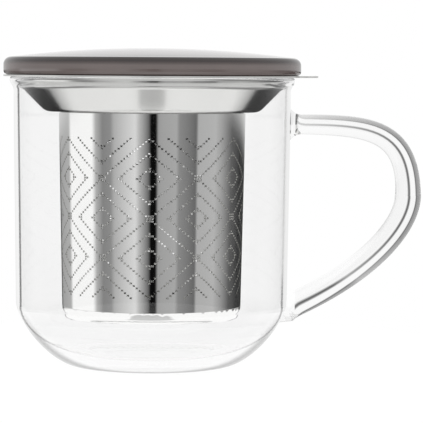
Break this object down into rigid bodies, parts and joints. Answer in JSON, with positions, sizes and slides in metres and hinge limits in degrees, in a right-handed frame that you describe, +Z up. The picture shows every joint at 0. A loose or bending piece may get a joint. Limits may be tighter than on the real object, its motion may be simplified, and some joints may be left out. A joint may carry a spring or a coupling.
{
  "type": "lidded tea mug with infuser",
  "caption": "Cylindrical glass tea mug with a looped rod handle, a lift-out perforated steel infuser basket on a flanged funnel collar, and a loose domed lid.",
  "frame": {"origin": "centre of the mug's foot, on the mug's axis, in the plane that it stands on", "axes": "+Z up along the mug's axis, +X towards the handle, +Y completes a right-handed frame"},
  "size_m": [0.1259, 0.0894, 0.0951],
  "materials": {
    "borosilicate_glass": "clear blown and fire-polished",
    "spun_steel": "stainless, satin from spinning",
    "polished_steel": "stainless sheet, mirror polished and perforated",
    "taupe_glaze": "glossy taupe glaze",
    "clear_silicone": "matt moulded silicone"
  },
  "bodies": {
    "mug": {"glass_vessel": "borosilicate_glass", "handle": "borosilicate_glass"},
    "infuser": {"infuser_collar": "spun_steel", "basket_wall": "polished_steel", "basket_floor": "polished_steel", "basket_seam": "polished_steel"},
    "lid": {"lid_shell": "taupe_glaze", "lid_seal": "clear_silicone"}
  },
  "joints": [
    {"name": "infuser_lift", "type": "slide", "parent": "mug", "child": "infuser", "axis": [0, 0, 1], "range_m": [0, 0.09]},
    {"name": "lid_lift", "type": "slide", "parent": "infuser", "child": "lid", "axis": [0, 0, 1], "range_m": [0, 0.05]}
  ]
}
